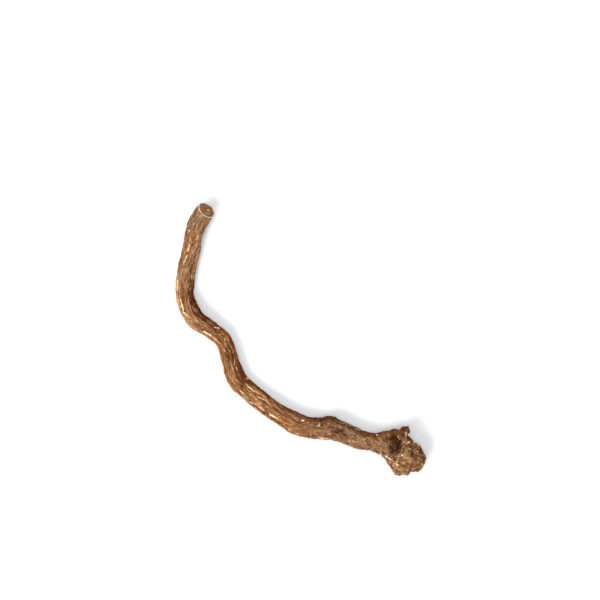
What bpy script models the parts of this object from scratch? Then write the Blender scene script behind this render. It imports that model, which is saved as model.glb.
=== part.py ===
"""A dried dandelion root: one long crooked taproot, with a knobbly crown at one end and a cut tail at the other.

It lies on a surface. Seen from above, the tail starts at the back left and runs forward, the root swings to the
right in an S, and the crown is at the front right. +Z is up, and the origin is the middle of the root's footprint,
on the surface that it lies on. Lengths are millimetres until the mesh is written.
"""

import bisect
import math

import bmesh
import bpy
from mathutils import Vector, noise

MM = 0.001

# Points on the root's middle line from the cut tail to the end of the crown: x, y, the gap under the root there,
# and how thick the root is across. A gap below zero is a low point, where the root rests.
STATIONS = (
    (-37.4, 51.8, 4.6, 7.5),
    (-40.4, 47.7, 2.9, 7.2),
    (-42.6, 43.2, 1.6, 7.0),
    (-44.3, 34.4, 0.3, 7.0),
    (-46.3, 23.6, -0.45, 6.9),
    (-46.0, 15.6, 0.5, 6.9),
    (-42.4, 8.3, 1.0, 7.4),
    (-36.2, 3.8, 1.2, 6.3),
    (-31.2, -1.0, 1.2, 5.9),
    (-28.3, -8.8, 0.9, 6.4),
    (-25.4, -16.6, 0.3, 6.8),
    (-18.0, -23.0, -0.45, 7.3),
    (-9.6, -29.4, 0.2, 7.4),
    (-0.8, -34.2, 0.7, 8.2),
    (7.4, -35.7, 1.0, 8.6),
    (11.6, -35.6, 1.2, 8.9),
    (16.6, -37.2, 1.5, 8.1),
    (23.4, -39.9, 1.8, 7.5),
    (28.6, -41.0, 1.8, 7.7),
    (33.2, -41.9, 1.1, 10.4),
    (37.8, -43.9, -0.4, 14.0),
    (42.2, -46.4, -0.4, 14.2),
    (46.2, -47.7, 1.0, 11.0),
    (49.2, -48.4, 1.8, 8.4),
)
HEIGHT_SHARE = 0.86  # a dried root is a little flatter than it is wide
CROWN_END = 5.0  # the length over which the crown's end rounds off
END_ROUNDNESS = 2.4  # 2 is a half ball, and more is blunter

# The cut across the tail faces back and up. Its middle is this far along the root, and it is this much further
# forward for each millimetre to the right, and for each millimetre up.
CUT_BACK = 0.85
CUT_SLANT_RIGHT = -0.06
CUT_SLANT_UP = 0.40
CUT_FADE = 9.0  # how far along the root the slant of the cut is carried

# The mesh: rings along the root, and sides to a ring.
SIDES = 30
RING_STEP = 1.6
CROWN_RING_STEP = 1.45
CROWN_START = 138.0  # where along the root the crown's finer rings begin
END_RINGS = 6

# Long furrows: start and end along the root, angle at the start, turn per millimetre, depth and half width.
# Angles go round from 0 at the right of someone looking towards the crown, by 90 at the top.
FURROWS = (
    (14.0, 108.0, 134.0, -0.34, 0.62, 0.80),
    (46.0, 132.0, 28.0, 0.30, 0.42, 0.75),
    (4.0, 78.0, 62.0, 0.25, 0.30, 0.70),
    (2.0, 92.0, 212.0, 0.22, 0.45, 0.85),
    (84.0, 146.0, 168.0, -0.20, 0.42, 0.80),
    (10.0, 140.0, 318.0, -0.18, 0.40, 0.90),
)
FURROW_FADE = 9.0

# Swellings and hollows pressed out of the surface: centre, how far its edge is, and the push at the centre.
KNOBS = (
    ((11.6, -31.6, 6.0), 4.2, (0.0, 0.50, 0.3)),
    ((-29.2, 1.4, 5.2), 3.6, (0.35, 0.35, 0.1)),
    ((-49.4, 28.0, 4.0), 4.0, (-0.35, 0.0, 0.1)),
    ((20.6, -35.2, 6.4), 3.0, (0.1, -0.45, -0.3)),
    # The dark crescent hollow where the neck meets the crown, from the upper rim round to the front.
    ((37.4, -39.0, 10.0), 3.5, (1.2, -0.3, -2.7)),
    ((38.0, -41.6, 12.0), 3.7, (1.5, -0.3, -3.2)),
    ((37.2, -44.6, 12.0), 3.3, (0.9, 0.2, -2.2)),
    # The crown's rims above and behind the hollow.
    ((36.8, -37.5, 7.6), 3.4, (0.1, 2.0, 0.2)),
    ((41.8, -42.2, 12.4), 3.2, (0.2, 0.2, 1.0)),
    # Lobes round the crown, from the back to the front.
    ((44.5, -40.0, 6.0), 3.9, (-1.3, -1.7, 0.0)),
    ((48.4, -44.4, 6.4), 3.0, (-0.6, -0.4, 0.2)),
    ((49.4, -46.6, 6.2), 3.0, (0.25, 0.0, 0.0)),
    ((47.4, -51.0, 5.8), 4.0, (0.05, -0.65, 0.0)),
    ((43.7, -53.0, 6.2), 2.0, (0.0, 0.9, 0.0)),
    ((41.2, -53.0, 6.0), 2.8, (0.2, -1.0, 0.0)),
    ((38.2, -53.0, 5.8), 3.2, (-0.6, -1.8, 0.2)),
    ((33.6, -48.8, 5.4), 3.0, (0.6, 0.6, 0.0)),
    ((31.4, -46.9, 4.8), 3.4, (0.4, 0.6, 0.0)),
    # The crown's broad middle, its front shoulder, and the fold to their right.
    ((42.0, -47.6, 13.0), 3.4, (0.0, 0.0, 1.2)),
    ((38.2, -50.6, 10.8), 3.0, (-0.3, -0.4, 0.9)),
    ((45.4, -46.0, 11.6), 2.6, (0.0, 0.0, -1.5)),
    ((45.4, -50.0, 10.6), 2.8, (0.2, -0.2, 0.7)),
)
# The short blunt stub of a leaf base that stands out of the crown's upper rim.
STUB_CENTRE = Vector((40.2, -38.0, 8.2))
STUB_REACH = 2.9
STUB_FLAT = 0.4  # the share of that reach which is its blunt end
STUB_PUSH = Vector((1.7, 3.0, 0.8))

# Natural unevenness: how high each kind is, and how long one wave of it is along the root, in millimetres.
SWELL = 0.22  # slow swellings
SWELL_LENGTH = 8.0
FOLD = 0.34  # long rounded folds
FOLD_LENGTH = 13.0
FOLDS_ROUND = 2.3  # waves of the folds across the root's width
LUMP = 0.55  # lumps on the crown
LUMP_SIZE = 2.6
LUMPS_START = 142.0
LUMPS_FULL = 154.0
DRIFT = 0.16  # how far a furrow wanders from its line, in radians
DRIFT_LENGTH = 9.0
NOISE_APART = 7.0  # keeps the patterns from lining up with each other

# The middle of the root's footprint, which is moved to the origin.
FOOTPRINT_MIDDLE = Vector((-0.34, -0.08, 0.0))

BARK_BROWN = (0.255, 0.140, 0.075, 1.0)
BARK_ROUGHNESS = 0.78

SAMPLES_PER_STATION = 40
TANGENT_REACH = 0.9


def between(before, start, end, after, t):
    """A Catmull-Rom curve through start and end."""
    return (
        start * 2.0
        + (end - before) * t
        + (before * 2.0 - start * 5.0 + end * 4.0 - after) * t**2
        + (start * 3.0 - before - end * 3.0 + after) * t**3
    ) * 0.5


def trace_line():
    """Closely spaced (distance along, centre, thickness) on the middle line."""
    rows = []
    for x, y, gap, thickness in STATIONS:
        rows.append(Vector((x, y, gap + thickness * HEIGHT_SHARE / 2.0, thickness)))
    rows = [rows[0] * 2.0 - rows[1], *rows, rows[-1] * 2.0 - rows[-2]]
    line = []
    distance = 0.0
    for i in range(1, len(rows) - 2):
        for step in range(SAMPLES_PER_STATION):
            point = between(*rows[i - 1 : i + 3], step / SAMPLES_PER_STATION)
            centre = point.to_3d()
            if line:
                distance += (centre - line[-1][1]).length
            line.append((distance, centre, point[3]))
    return line


LINE = trace_line()
DISTANCES = [row[0] for row in LINE]
LENGTH = DISTANCES[-1]


def middle(along):
    """(centre, thickness) of the root at a distance from the tail."""
    i = min(max(bisect.bisect(DISTANCES, along), 1), len(LINE) - 1)
    start, end = LINE[i - 1], LINE[i]
    t = (along - start[0]) / (end[0] - start[0])
    return start[1].lerp(end[1], t), start[2] + (end[2] - start[2]) * t


def heading(along):
    """The root's direction towards the crown, the side to its right, and the way up from it."""
    ahead = middle(along + TANGENT_REACH)[0]
    behind = middle(along - TANGENT_REACH)[0]
    forward = (ahead - behind).normalized()
    right = forward.cross(Vector((0.0, 0.0, 1.0))).normalized()
    return forward, right, right.cross(forward)


def ease(value, start, end):
    """0 before start, 1 after end, and a smooth rise between."""
    t = min(max((value - start) / (end - start), 0.0), 1.0)
    return t * t * (3.0 - 2.0 * t)


def furrow_depth(along, angle, radius):
    """How deep the long furrows lie under the surface at a place."""
    depth = 0.0
    for start, end, first_angle, turn, deepest, half_width in FURROWS:
        fade = ease(along, start, start + FURROW_FADE) * (1.0 - ease(along, end - FURROW_FADE, end))
        if fade <= 0.0:
            continue
        furrow_angle = math.radians(first_angle + turn * (along - start))
        furrow_angle += DRIFT * noise.noise(Vector((along / DRIFT_LENGTH, first_angle, 0.0)))
        off = math.remainder(angle - furrow_angle, math.tau) * radius
        depth += fade * deepest * math.exp(-((off / half_width) ** 2))
    return depth


def relief(along, angle, radius):
    """The root's own unevenness at a place, outward, in millimetres."""
    crown = ease(along, LUMPS_START, LUMPS_FULL)
    round_place = Vector((math.cos(angle), math.sin(angle), 0.0))
    swell = noise.noise(Vector((along / SWELL_LENGTH, 0.0, NOISE_APART))) * SWELL
    fold = noise.noise(round_place * FOLDS_ROUND + Vector((0.0, 0.0, along / FOLD_LENGTH))) * FOLD
    lump_place = round_place * radius / LUMP_SIZE + Vector((NOISE_APART, 0.0, along / LUMP_SIZE))
    lump = noise.noise(lump_place) * LUMP
    return (swell + fold) * (1.0 - crown / 2.0) + lump * crown - furrow_depth(along, angle, radius)


def pushed(point):
    """A surface point after the knobs, hollows and the leaf stub have moved it."""
    moved = point.copy()
    for centre, reach, push in KNOBS:
        share = (point - Vector(centre)).length / reach
        if share < 1.0:
            moved += Vector(push) * (1.0 - share**2) ** 2
    share = (moved - STUB_CENTRE).length / STUB_REACH
    return moved + STUB_PUSH * (1.0 - ease(share, STUB_FLAT, 1.0))


def skin(along, angle):
    """The point of the root's surface at a distance from the tail and an angle round it."""
    _, thickness = middle(along)
    radius = thickness / 2.0
    slant = radius * (CUT_SLANT_RIGHT * math.cos(angle) + CUT_SLANT_UP * HEIGHT_SHARE * math.sin(angle))
    along = along + (slant + CUT_BACK) * (1.0 - ease(along, 0.0, CUT_FADE))
    centre, thickness = middle(along)
    _, right, up = heading(along)
    radius = thickness / 2.0
    radius += relief(along, angle, radius)
    into_end = max((along - LENGTH) / CROWN_END + 1.0, 0.0)
    radius *= max(1.0 - into_end**END_ROUNDNESS, 0.0) ** (1.0 / END_ROUNDNESS)
    across = radius * math.cos(angle)
    above = radius * math.sin(angle) * HEIGHT_SHARE
    point = pushed(centre + right * across + up * above) - FOOTPRINT_MIDDLE
    point.z = max(point.z, 0.0)
    return point


def ring_stops():
    """Distances along the root at which its rings lie, closer together in the crown and over its round end."""
    end_start = LENGTH - CROWN_END
    stops = []
    along = 0.0
    while along < end_start:
        stops.append(along)
        along += RING_STEP if along < CROWN_START else CROWN_RING_STEP
    for i in range(END_RINGS):
        stops.append(end_start + CROWN_END * math.sin(math.pi / 2.0 * i / END_RINGS))
    return stops


def grow_tube(mesh):
    """A plain tube of rings, whose points know their distance along the root and their angle round it."""
    along_layer = mesh.verts.layers.float.new("along")
    angle_layer = mesh.verts.layers.float.new("angle")
    ring = bmesh.ops.create_circle(mesh, segments=SIDES, radius=1.0)["verts"]
    for vert in ring:
        vert[angle_layer] = math.atan2(vert.co.y, vert.co.x)
    edges = list(mesh.edges)
    stops = ring_stops()
    for along in stops[1:]:
        grown = bmesh.ops.extrude_edge_only(mesh, edges=edges)["geom"]
        edges = [item for item in grown if isinstance(item, bmesh.types.BMEdge)]
        edges = [edge for edge in edges if all(vert in grown for vert in edge.verts)]
        for vert in grown:
            if isinstance(vert, bmesh.types.BMVert):
                vert[along_layer] = along
                vert.co.z = along
    return along_layer, angle_layer


def subdivide_crown(mesh, along_layer, angle_layer):
    """Cuts the crown's faces in four, and gives the new points their own distance and angle."""
    crown_edges = [
        edge for edge in mesh.edges if min(vert[along_layer] for vert in edge.verts) >= CROWN_START
    ]
    bmesh.ops.subdivide_edges(mesh, edges=crown_edges, cuts=1, use_grid_fill=True)
    for vert in mesh.verts:
        vert[along_layer] = vert.co.z
        vert[angle_layer] = math.atan2(vert.co.y, vert.co.x)


def slice_tail(rim):
    """Slides the tail's first ring along the root on to the flat plane of the cut."""
    centre = middle(CUT_BACK)[0] - FOOTPRINT_MIDDLE
    forward, right, up = heading(CUT_BACK)
    for vert in rim:
        off = vert.co - centre
        vert.co += forward * (CUT_SLANT_RIGHT * off.dot(right) + CUT_SLANT_UP * off.dot(up) - off.dot(forward))


def build_root():
    mesh = bmesh.new()
    along_layer, angle_layer = grow_tube(mesh)
    subdivide_crown(mesh, along_layer, angle_layer)
    rims = [vert for vert in mesh.verts if vert.is_boundary]
    tail_rim = [vert for vert in rims if vert[along_layer] < CROWN_START]
    crown_rim = [vert for vert in rims if vert[along_layer] > CROWN_START]
    for vert in mesh.verts:
        vert.co = skin(vert[along_layer], vert[angle_layer])
    slice_tail(tail_rim)
    pole = skin(LENGTH, 0.0).lerp(skin(LENGTH, math.pi), 0.5)
    bmesh.ops.pointmerge(mesh, verts=crown_rim, merge_co=pole)
    tail_edges = [edge for edge in mesh.edges if edge.is_boundary]
    cut = bmesh.ops.holes_fill(mesh, edges=tail_edges, sides=0)["faces"]
    bmesh.ops.poke(mesh, faces=cut)
    bmesh.ops.triangulate(mesh, faces=mesh.faces)
    bmesh.ops.recalc_face_normals(mesh, faces=mesh.faces)
    bmesh.ops.scale(mesh, vec=Vector((MM, MM, MM)), verts=mesh.verts)
    return mesh


def bark_material():
    material = bpy.data.materials.new("root_bark")
    material.use_nodes = True
    shader = material.node_tree.nodes["Principled BSDF"]
    shader.inputs["Base Color"].default_value = BARK_BROWN
    shader.inputs["Roughness"].default_value = BARK_ROUGHNESS
    return material


def main():
    for old in list(bpy.data.objects):
        bpy.data.objects.remove(old, do_unlink=True)
    data = bpy.data.meshes.new("dandelion_root")
    mesh = build_root()
    mesh.to_mesh(data)
    mesh.free()
    data.shade_smooth()
    data.materials.append(bark_material())
    root = bpy.data.objects.new("dandelion_root", data)
    bpy.context.scene.collection.objects.link(root)


main()
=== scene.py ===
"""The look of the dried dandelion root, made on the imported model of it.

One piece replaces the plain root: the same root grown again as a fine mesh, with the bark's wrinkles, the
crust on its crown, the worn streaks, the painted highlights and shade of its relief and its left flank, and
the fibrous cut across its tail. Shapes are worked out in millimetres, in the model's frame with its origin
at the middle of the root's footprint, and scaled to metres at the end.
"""

import bisect
import math
import random

import bmesh
import bpy
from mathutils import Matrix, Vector, noise


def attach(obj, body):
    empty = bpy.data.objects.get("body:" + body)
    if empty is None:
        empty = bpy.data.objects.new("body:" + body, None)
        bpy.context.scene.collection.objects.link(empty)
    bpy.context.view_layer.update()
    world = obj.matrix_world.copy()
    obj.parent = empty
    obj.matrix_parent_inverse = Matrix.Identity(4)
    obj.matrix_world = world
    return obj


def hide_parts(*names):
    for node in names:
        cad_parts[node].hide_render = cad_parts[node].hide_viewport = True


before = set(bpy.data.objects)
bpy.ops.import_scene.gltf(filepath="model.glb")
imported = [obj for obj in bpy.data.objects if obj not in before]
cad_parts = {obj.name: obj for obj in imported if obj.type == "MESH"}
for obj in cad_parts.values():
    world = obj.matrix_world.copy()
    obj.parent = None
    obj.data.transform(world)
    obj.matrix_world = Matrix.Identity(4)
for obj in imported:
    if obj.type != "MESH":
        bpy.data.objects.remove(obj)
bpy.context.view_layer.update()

MM = 0.001

# Points on the root's middle line from the cut tail to the end of the crown: x, y, the gap under the root
# there, and how thick the root is across. A gap below zero is a low point, where the root rests.
STATIONS = (
    (-37.4, 51.8, 4.6, 7.5),
    (-40.4, 47.7, 2.9, 7.2),
    (-42.6, 43.2, 1.6, 7.0),
    (-44.3, 34.4, 0.3, 7.0),
    (-46.3, 23.6, -0.45, 6.9),
    (-46.0, 15.6, 0.5, 6.9),
    (-42.4, 8.3, 1.0, 7.4),
    (-36.2, 3.8, 1.2, 6.3),
    (-31.2, -1.0, 1.2, 5.9),
    (-28.3, -8.8, 0.9, 6.4),
    (-25.4, -16.6, 0.3, 6.8),
    (-18.0, -23.0, -0.45, 7.3),
    (-9.6, -29.4, 0.2, 7.4),
    (-0.8, -34.2, 0.7, 8.2),
    (7.4, -35.7, 1.0, 8.6),
    (11.6, -35.6, 1.2, 8.9),
    (16.6, -37.2, 1.5, 8.1),
    (23.4, -39.9, 1.8, 7.5),
    (28.6, -41.0, 1.8, 7.7),
    (33.2, -41.9, 1.1, 10.4),
    (37.8, -43.9, -0.4, 14.0),
    (42.2, -46.4, -0.4, 14.2),
    (46.2, -47.7, 1.0, 11.0),
    (49.2, -48.4, 1.8, 8.4),
)
HEIGHT_SHARE = 0.86  # a dried root is a little flatter than it is wide
CROWN_END = 5.0  # the length over which the crown's end rounds off
END_ROUNDNESS = 2.4  # 2 is a half ball, and more is blunter
SAMPLES_PER_STATION = 40
TANGENT_REACH = 0.9  # how far ahead and behind the root's direction is read

# The middle of the root's footprint, which is moved to the origin.
FOOTPRINT_MIDDLE = Vector((-0.34, -0.08, 0.0))

# The cut across the tail faces back and up. Its middle is this far along the root, and it is this much
# further forward for each millimetre to the right, and for each millimetre up.
CUT_BACK = 0.85
CUT_SLANT_RIGHT = -0.06
CUT_SLANT_UP = 0.40
CUT_FADE = 9.0  # how far along the root the slant of the cut is carried
PITH_RIGHT = -0.65  # where the pith lies, from the cut's middle
PITH_UP = -1.2

# Long furrows: start and end along the root, angle at the start, turn per millimetre, depth and half width.
# Angles go round from 0 at the right of someone looking towards the crown, by 90 at the top.
FURROWS = (
    (14.0, 108.0, 134.0, -0.34, 0.62, 0.80),
    (46.0, 132.0, 28.0, 0.30, 0.42, 0.75),
    (4.0, 78.0, 62.0, 0.25, 0.30, 0.70),
    (2.0, 92.0, 212.0, 0.22, 0.45, 0.85),
    (84.0, 146.0, 168.0, -0.20, 0.42, 0.80),
    (10.0, 140.0, 318.0, -0.18, 0.40, 0.90),
)
FURROW_FADE = 9.0
DRIFT = 0.16  # how far a furrow wanders from its line, in radians
DRIFT_LENGTH = 9.0

# Swellings and hollows: centre, how far the edge is, and the push at the centre.
KNOBS = (
    ((11.6, -31.6, 6.0), 4.2, (0.0, 0.50, 0.3)),
    ((-29.2, 1.4, 5.2), 3.6, (0.35, 0.35, 0.1)),
    ((-49.4, 28.0, 4.0), 4.0, (-0.35, 0.0, 0.1)),
    ((20.6, -35.2, 6.4), 3.0, (0.1, -0.45, -0.3)),
    # The dark crescent hollow where the neck meets the crown, from the upper rim round to the front.
    ((37.4, -39.0, 10.0), 3.5, (1.2, -0.3, -2.7)),
    ((38.0, -41.6, 12.0), 3.7, (1.5, -0.3, -3.2)),
    ((37.2, -44.6, 12.0), 3.3, (0.9, 0.2, -2.2)),
    # The crown's rims above and behind the hollow.
    ((36.8, -37.5, 7.6), 3.4, (0.1, 2.0, 0.2)),
    ((41.8, -42.2, 12.4), 3.2, (0.2, 0.2, 1.0)),
    # Lobes round the crown, from the back to the front, and the neck's front edge.
    ((44.5, -39.7, 6.0), 3.9, (-1.6, -1.9, 0.0)),
    ((48.4, -44.4, 6.4), 3.0, (-0.6, -0.4, 0.2)),
    ((49.4, -46.6, 6.2), 3.0, (0.25, 0.0, 0.0)),
    ((47.4, -51.0, 5.8), 4.0, (0.05, -0.65, 0.0)),
    ((43.7, -53.0, 6.2), 2.0, (0.0, 0.9, 0.0)),
    ((41.2, -53.0, 6.0), 2.8, (0.2, -1.0, 0.0)),
    ((38.2, -53.0, 5.8), 3.2, (-0.4, -1.7, 0.2)),
    ((33.6, -48.8, 5.4), 3.0, (0.75, 0.65, 0.0)),
    ((31.6, -47.1, 4.8), 3.6, (0.5, 0.75, 0.0)),
    ((27.8, -44.2, 4.6), 4.6, (0.1, 0.45, 0.0)),
    # The crown's broad middle, its front shoulder, and the fold to their right.
    ((42.0, -47.6, 13.0), 3.4, (0.0, 0.0, 1.2)),
    ((38.2, -50.6, 10.8), 3.0, (-0.3, -0.4, 0.9)),
    ((45.4, -46.0, 11.6), 2.6, (0.0, 0.0, -1.5)),
    ((45.4, -50.0, 10.6), 2.8, (0.2, -0.2, 0.7)),
)
# The short blunt stub of a leaf base that stands out of the crown's upper rim.
STUB_CENTRE = Vector((40.5, -38.0, 8.2))
STUB_REACH = 2.9
STUB_FLAT = 0.4  # the share of that reach which is its blunt end
STUB_PUSH = Vector((1.3, 2.9, 0.8))

# Natural unevenness: how high each kind is, and how long one wave of it is along the root.
SWELL = 0.22  # slow swellings
SWELL_LENGTH = 8.0
FOLD = 0.34  # long rounded folds
FOLD_LENGTH = 13.0
FOLDS_ROUND = 2.3  # waves of the folds across the root's width
LUMP = 0.55  # lumps on the crown
LUMP_SIZE = 2.6
LUMPS_START = 142.0
LUMPS_FULL = 154.0
NOISE_APART = 7.0  # keeps the patterns from lining up with each other
NOISE_SEED = 4  # makes the noise the same in each run

# The fine mesh: rings along the root, and sides to a ring.
SIDES = 150
RING_STEP = 0.40
CROWN_START = 138.0  # where along the root the crown's finer mesh begins
END_RINGS = 12
# What the mesh notes at each point, for the later steps and for the paint.
NOTES = ("along", "angle", "crest", "crease_shade", "pale_and_highlit", "ochre_and_glint", "dark", "shaded_flank", "crown", "cut", "cut_reach")

# Wrinkles, fibres and broad ribs of the bark: how high, how wide and how long one is, and how much of a crest
# it makes for the paint.
WRINKLE = 0.46
WRINKLE_WIDTH = 1.0
WRINKLE_LENGTH = 7.5
WRINKLE_CREST = 0.52
FIBRE = 0.20
FIBRE_WIDTH = 0.46
FIBRE_LENGTH = 2.8
FIBRE_CREST = 0.34
RIB = 0.50
RIB_WIDTH = 2.1
RIB_LENGTH = 15.0
RIB_CREST = 0.30
RIB_MEAN = 0.45  # a rib's mean height as a share, taken off it
WANDER = 0.34  # how far the wrinkles swing round the root, in radians
WANDER_LENGTH = 7.0
FINE_WANDER = WANDER / 3.0
FINE_WANDER_WAVES = 3.1  # how many fine swings go in a broad one
RIDGE_SHARPNESS = 2.6
BARK_SINK = 0.32  # the bark's mean height, taken off so that the root keeps its thickness
CROWN_SINK = 0.66  # the same for the crown's crust

# The crust of the neck and crown: worn leaf scars in rows round it, crinkled all over.
LEAF_SCAR = 0.34
LEAF_SCAR_WIDTH = 4.2
LEAF_SCAR_LENGTH = 2.5
LEAF_SCAR_TILT = 0.8  # how far a scar's edge towards the crown's end stands out
LEAF_SCAR_WARP = 0.55
LEAF_SCAR_WARP_WAVES = 1.3
CRACK_WIDTH = 0.16
CRINKLE = 0.42
CRINKLE_SIZE = 1.9
FINE_CRINKLE = 0.15
FINE_CRINKLE_SIZE = 0.85
CRINKLE_WARP = 0.45
CLOD = 0.50
CLOD_SIZE = 2.6
CRUST_HIDES = 0.65  # how much of the wrinkles is hidden under it
# How much of a crest the crust makes for the paint: anywhere, and by its scars, crinkles and clods.
CRUST_CREST = 0.04
LEAF_SCAR_CREST = 0.16
CRINKLE_CREST = 0.44
FINE_CRINKLE_CREST = 0.34
CLOD_CREST = 0.40

# The stretch of short wrinkles that run across the root, before the neck.
ACROSS_START = 109.0
ACROSS_END = 129.0
ACROSS_FADE = 6.0
ACROSS_DEPTH = 0.34
ACROSS_PITCH = 0.9
ACROSS_BEND = 1.6  # how far a wrinkle bends, in wrinkles
ACROSS_BEND_SIZE = 2.4
ACROSS_WIDTH = 5.0
ACROSS_MEAN = 0.6

# How strong the broad ribs are at places along the root.
RIBBED = ((0.0, 0.15), (26.0, 0.35), (38.0, 1.0), (62.0, 0.85), (104.0, 0.75), (114.0, 0.25), (140.0, 0.10))
# How crusty the bark is at places along the root, from none to all.
CRUSTINESS = ((0.0, 0.06), (100.0, 0.06), (112.0, 0.38), (122.0, 0.46), (136.0, 0.60), (147.0, 1.0))
CRUST_LATENESS = 1.4  # how much later the crust's relief sets in than its colour
# The painted shade of the root's left flank, dark and ruddy as if in shadow: how strong it is at places along
# it.
FLANK_SHADE = (
    (0.0, 0.0),
    (22.0, 0.05),
    (34.0, 0.85),
    (50.0, 1.0),
    (58.0, 0.60),
    (68.0, 0.65),
    (80.0, 0.80),
    (92.0, 0.48),
    (104.0, 0.42),
    (118.0, 0.70),
    (128.0, 0.45),
    (142.0, 0.65),
    (160.0, 0.50),
)
# The angles round the root at which that shade starts, is full, starts to fade and ends, in radians.
FLANK_ANGLES = (1.85, 2.60, 3.85, 4.60)
# How far its edges swing, in radians, and how long a swing is.
FLANK_SWINGS = ((0.5, 3.2), (0.25, 0.9))

# The cut across the tail: how far out a ring of it lies, and how high it stands out of the cut.
CUT_RINGS = (
    (0.975, 0.05),
    (0.94, 0.10),
    (0.90, 0.02),
    (0.85, -0.16),
    (0.79, -0.24),
    (0.72, -0.26),
    (0.64, -0.22),
    (0.56, -0.20),
    (0.48, -0.22),
    (0.40, -0.20),
    (0.32, -0.24),
    (0.25, -0.30),
    (0.19, -0.22),
    (0.13, -0.10),
    (0.07, -0.06),
)
CUT_FIBRE = 0.10  # how rough the cut is
CUT_RIM_INSIDE = 0.86  # where the cut's pale rim starts, and where it is full
CUT_RIM_FULL = 0.92
CUT_RIM_LOWEST = 0.25  # how pale the rim is at its lower side
CUT_RIM_TURN = (-0.5, 0.4)  # from how low to how high, as shares of the radius, it turns pale
CUT_RAYS = 3.2  # how fine the cut's rays are
CUT_RAY_SHORTNESS = 0.35  # how soon a ray changes on its way out

# The camera looks straight down from where the photograph was taken. The floor it sees is 240 mm wide.
CAMERA_SPOT = Vector((-0.6, 15.6, 0.0)) - FOOTPRINT_MIDDLE
CAMERA_HEIGHT = 1200.0
CAMERA_LENS = 180.0
SENSOR_WIDTH = 36.0
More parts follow.
